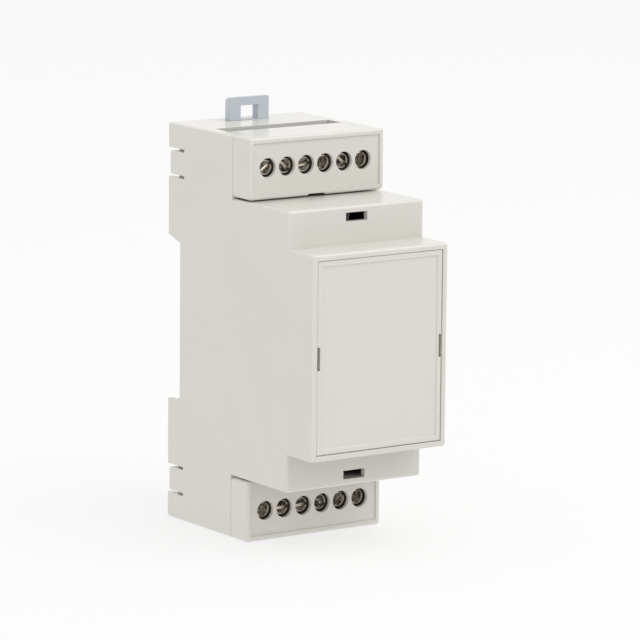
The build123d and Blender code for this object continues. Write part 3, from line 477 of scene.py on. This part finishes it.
face = calc(tree, "MULTIPLY", size["Head Height"], -1.0)
inner = calc(tree, "SUBTRACT", size["Head Radius"], size["Rounding"])
bends = [math.radians(15 * step) for step in range(7)]
radii = [calc(tree, "MULTIPLY_ADD", size["Rounding"], math.sin(bend), inner) for bend in bends]
alongs = [calc(tree, "MULTIPLY_ADD", size["Rounding"], 1 - math.cos(bend), face) for bend in bends]
radius = profile(tree, row, [0.0, *radii, size["Head Radius"], 0.5 * mm, 0.0])
along = profile(tree, row, [face, *alongs, 0.0, 0.0, 0.0])
head_shape = wrap(tree, head, radius, along, angle)
box_size = add(tree, "ShaderNodeCombineXYZ", None, {"X": 6.0 * mm}, {
    "Y": calc(tree, "MULTIPLY", size["Slot Depth"], 2.0), "Z": size["Slot Width"]})
box = add(tree, "GeometryNodeMeshCube", None, None, {"Size": box_size.outputs[0]})
spin = add(tree, "ShaderNodeCombineXYZ", None, None, {"Y": size["Slot Turn"]})
lift = add(tree, "ShaderNodeCombineXYZ", None, None, {"Y": face})
cutter = add(tree, "GeometryNodeTransform", None, None, {
    "Geometry": box.outputs["Mesh"], "Translation": lift.outputs[0], "Rotation": spin.outputs[0]})
slotted = add(tree, "GeometryNodeMeshBoolean", {"operation": "DIFFERENCE", "solver": "EXACT"}, None,
              {"Mesh 1": head_shape, "Mesh 2": cutter.outputs[0]})
both = add(tree, "GeometryNodeJoinGeometry")
tree.links.new(shank_shape, both.inputs[0])
tree.links.new(slotted.outputs["Mesh"], both.inputs[0])
close_tree(tree, given, both.outputs[0])
SCREW_TREE = tree

# %% [markdown]
# One screw is grown for each terminal, with its own slot direction, and its points are then
# moved to its axis. Its head's back lies where the frame's screw has it.

# %% Screws
SLOT_TURNS = {"upper": (35, -40, 6, 62, -38, 80), "lower": (68, 2, 4, -28, 42, 84)}


def outward(mesh):
    """Recalculate normals so that faces point out, and shade flat across sharp edges."""
    work = bmesh.new()
    work.from_mesh(mesh)
    bmesh.ops.recalc_face_normals(work, faces=work.faces)
    for edge in work.edges:
        edge.smooth = len(edge.link_faces) == 2 and edge.calc_face_angle(0.0) < math.radians(35)
    for face in work.faces:
        face.smooth = True
    work.to_mesh(mesh)
    work.free()


triangles = 0
for (end, i), (low, high) in screw_boxes.items():
    piece = grow(f"{end}_terminal_screw_{i}", SCREW_TREE, ZINC,
                 {"Slot Turn": math.radians(-SLOT_TURNS[end][i - 1])})
    spot = Vector(((low.x + high.x) / 2, low.y + SCREW["Head Height"], (low.z + high.z) / 2))
    piece.data.transform(Matrix.Translation(spot))
    outward(piece.data)
    triangles += sum(len(p.vertices) - 2 for p in piece.data.polygons)
    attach(piece, f"{end}_screw_{i}")
    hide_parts(f"{end}_screw_{i}")
print("12 screws,", triangles, "triangles")

# %% [markdown]
# ## Coil winding
# The relay's coil is wound with enamelled copper wire, laid turn against turn. A spiral swept
# with a round section gives the outer layer, and the frame's own coil is the layers below.
# Real wire is 0.06 mm thick; it is drawn 0.24 mm thick so that the turns show.

# %% Winding
WINDING = {"Radius": 4.46 * mm, "Length": 8.0 * mm, "Turns": 33.0, "Wire Radius": 0.12 * mm}
tree, given = new_tree("coil_winding", WINDING)
size = given.outputs
spiral = add(tree, "GeometryNodeCurveSpiral", None, {"Resolution": 40}, {
    "Rotations": size["Turns"], "Start Radius": size["Radius"], "End Radius": size["Radius"],
    "Height": size["Length"]})
section = add(tree, "GeometryNodeCurvePrimitiveCircle", None, {"Resolution": 6},
              {"Radius": size["Wire Radius"]})
swept = add(tree, "GeometryNodeCurveToMesh", None, {"Fill Caps": True}, {
    "Curve": spiral.outputs[0], "Profile Curve": section.outputs[0]})
close_tree(tree, given, swept.outputs[0])
low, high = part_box("relay_coil")
winding = grow("coil_winding", tree, COPPER)
rest = (high.z - low.z - WINDING["Length"]) / 2
winding.data.transform(Matrix.Translation(((low.x + high.x) / 2, (low.y + high.y) / 2, low.z + rest)))
outward(winding.data)
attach(winding, "housing")
print("winding", len(winding.data.polygons), "faces")

# %% [markdown]
# ## Solder joints and tracks
# Every lead that passes through the board ends in a cone of solder on its back, and copper
# tracks under the green mask join the pads on its front. The leads' places are read from the
# frame: points of the leaded parts that lie behind the board are gathered into spots.

# %% Places of the leads
LEADED = ["upper_terminal_contacts", "lower_terminal_contacts", "relay_pins", "relay_fixed_contacts",
          "film_capacitor", "smoothing_capacitor", "output_capacitor", "varistor", "bridge_rectifier",
          "voltage_regulator", "resistors", "diodes"]
lead_spots = []
for name in LEADED:
    behind = [v.co for v in nodes[name].data.vertices if v.co.y > board_high.y + 0.5 * mm]
    groups = []
    for point in behind:
        near = next((g for g in groups if (g[0] - point).to_2d().length < 1.3 * mm
                     and abs(g[0].z - point.z) < 1.3 * mm), None)
        if near is None:
            groups.append([point])
        else:
            near.append(point)
    for group in groups:
        lead_spots.append((sum(p.x for p in group) / len(group), sum(p.z for p in group) / len(group)))
print(len(lead_spots), "leads pass through the board")

# %% Solder joints
JOINT = {"Foot Radius": 0.95 * mm, "Top Radius": 0.42 * mm, "Height": 0.8 * mm}
tree, given = new_tree("solder_joints", JOINT)
size = given.outputs
cone = add(tree, "GeometryNodeMeshCone", None, {"Vertices": 20, "Side Segments": 3}, {
    "Radius Top": size["Top Radius"], "Radius Bottom": size["Foot Radius"], "Depth": size["Height"]})
stand = add(tree, "GeometryNodeTransform", None, {"Rotation": (-math.pi / 2, 0, 0)},
            {"Geometry": cone.outputs["Mesh"]})
copies = add(tree, "GeometryNodeInstanceOnPoints", None, None,
             {"Points": given.outputs["Geometry"], "Instance": stand.outputs[0]})
close_tree(tree, given, copies.outputs[0])
start = bpy.data.meshes.new("lead_points")
start.from_pydata([(x, board_high.y, z) for x, z in lead_spots], [], [])
joints = grow("solder_joints", tree, SOLDER, start=start)
outward(joints.data)
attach(joints, "housing")
print("solder joints", len(joints.data.polygons), "faces")

# %% Tracks
TRACKS = {"Width": 0.8 * mm, "Height": 0.07 * mm}
tree, given = new_tree("copper_tracks", TRACKS)
size = given.outputs
line = add(tree, "GeometryNodeMeshToCurve", None, None, {"Mesh": given.outputs["Geometry"]})
section = add(tree, "GeometryNodeCurvePrimitiveCircle", None, {"Resolution": 8},
              {"Radius": calc(tree, "DIVIDE", size["Width"], 2.0)})
swept = add(tree, "GeometryNodeCurveToMesh", None, {"Fill Caps": True},
            {"Curve": line.outputs[0], "Profile Curve": section.outputs[0]})
place = add(tree, "ShaderNodeSeparateXYZ", None, None,
            {"Vector": add(tree, "GeometryNodeInputPosition").outputs[0]})
sunk = calc(tree, "MULTIPLY", calc(tree, "DIVIDE", place.outputs["Y"], size["Width"]), size["Height"])
flat = add(tree, "ShaderNodeCombineXYZ", None, None,
           {"X": place.outputs["X"], "Y": sunk, "Z": place.outputs["Z"]})
pressed = add(tree, "GeometryNodeSetPosition", None, None,
              {"Geometry": swept.outputs[0], "Position": flat.outputs[0]})
close_tree(tree, given, pressed.outputs[0])
points, edges = [], []
order = sorted(lead_spots, key=lambda s: (round(s[1] / (9 * mm)), s[0]))
for (xa, za), (xb, zb) in zip(order, order[1:]):
    if abs(xa - xb) + abs(za - zb) > 16 * mm:
        continue
    corner = min(abs(xb - xa), abs(zb - za)) * (1 if zb > za else -1)
    start_at = len(points)
    points += [(xa, 0, za), (xa + abs(corner) * (1 if xb > xa else -1), 0, za + corner), (xb, 0, zb)]
    edges += [(start_at, start_at + 1), (start_at + 1, start_at + 2)]
start = bpy.data.meshes.new("track_lines")
start.from_pydata(points, edges, [])
tracks = grow("copper_tracks", tree, TRACK, start=start)
tracks.data.transform(Matrix.Translation((0, board_low.y, 0)))
outward(tracks.data)
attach(tracks, "housing")
print("tracks", len(tracks.data.polygons), "faces")

# %% [markdown]
# ## Stage
# A matt grey floor, an even white surround and one wide soft light from above. Most of the
# floor's brightness is its own glow, so it looks white and the shadow under the housing stays
# faint. A near-black card low in front is seen only by reflections: it gives the bright screws
# something dark to mirror.

# %% Stage, lights and camera
FLOOR_SIZE = 6.0
FLOOR_GAP = 0.1 * mm
FLOOR_GLOW = 0.68
CARD_PLACE, CARD_SIZE, CARD_AIM = (0.36, -0.52, -0.07), 0.34, (0, 0, 0.045)
LIGHT_PLACE, LIGHT_AIM, LIGHT_SIZE = (0.25, -0.5, 0.8), (0, 0, 0.05), (0.9, 0.9)
LIGHT_POWER = 3.1
SENSOR_WIDTH, LENS = 36.0, 255.97


def stage_floor():
    """A wide matt plane just under the object, made to look white by its own glow."""
    bpy.ops.mesh.primitive_plane_add(size=FLOOR_SIZE, location=(0, 0, cad_low.z - FLOOR_GAP))
    floor = bpy.context.object
    floor.name = "floor"
    material, tree, shader = new_material(
        "matt_white_floor", Roughness=0.9, Emission_Strength=FLOOR_GLOW)
    shader.inputs["Base Color"].default_value = linear("#8a8a89")
    shader.inputs["Emission Color"].default_value = linear("#ffffff")
    shader.inputs["Specular IOR Level"].default_value = 0.0
    floor.data.materials.append(material)
    floor.visible_glossy = False
    floor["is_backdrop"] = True


def dark_card(place, size):
    """A near-black card that only reflections see, turned towards the object."""
    bpy.ops.mesh.primitive_plane_add(size=size)
    card = bpy.context.object
    card.name = "dark_card"
    towards = (Vector(CARD_AIM) - Vector(place)).to_track_quat("Z", "Y")
    card.data.transform(Matrix.Translation(place) @ towards.to_matrix().to_4x4())
    material, tree, shader = new_material("black_card", Roughness=1.0)
    shader.inputs["Base Color"].default_value = linear("#120d0a")
    shader.inputs["Specular IOR Level"].default_value = 0.0
    card.data.materials.append(material)
    card.visible_camera = card.visible_diffuse = card.visible_shadow = card.visible_transmission = False
    card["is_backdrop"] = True


def soft_light(name, place, target, size, power):
    """Rectangular area light that points at a target."""
    light = bpy.data.lights.new(name, "AREA")
    light.shape = "RECTANGLE"
    light.size, light.size_y = size
    light.energy = power
    lamp = bpy.data.objects.new(name, light)
    bpy.context.scene.collection.objects.link(lamp)
    lamp.matrix_world = Matrix.Translation(place) @ (
        Vector(target) - Vector(place)).to_track_quat("-Z", "Y").to_matrix().to_4x4()
    return lamp


stage_floor()
dark_card(CARD_PLACE, CARD_SIZE)
world = bpy.data.worlds.new("studio")
bpy.context.scene.world = world
world.use_nodes = True
background = world.node_tree.nodes["Background"]
background.inputs["Color"].default_value = linear("#ffffff")
background.inputs["Strength"].default_value = 1.0
soft_light("overhead", LIGHT_PLACE, LIGHT_AIM, LIGHT_SIZE, LIGHT_POWER)

bpy.context.scene.view_settings.view_transform = "Standard"

camera_place = Vector((-561.67, -824.53, 224.77)) * mm
camera_target = Vector((4.251, 0.75, 47.403)) * mm
camera_roll = math.radians(0.53)
camera_data = bpy.data.cameras.new("camera")
camera_data.sensor_width = SENSOR_WIDTH
camera_data.lens = LENS
camera = bpy.data.objects.new("camera", camera_data)
bpy.context.scene.collection.objects.link(camera)
look = (camera_target - camera_place).normalized()
right = look.cross(Vector((0, 0, 1))).normalized()
up = right.cross(look)
right_rolled = right * math.cos(camera_roll) + up * math.sin(camera_roll)
up_rolled = up * math.cos(camera_roll) - right * math.sin(camera_roll)
turn = Matrix((right_rolled, up_rolled, -look)).transposed()
camera.matrix_world = Matrix.Translation(camera_place) @ turn.to_4x4()
bpy.context.scene.camera = camera

# %% Sizes of the finished scene
low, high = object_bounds()
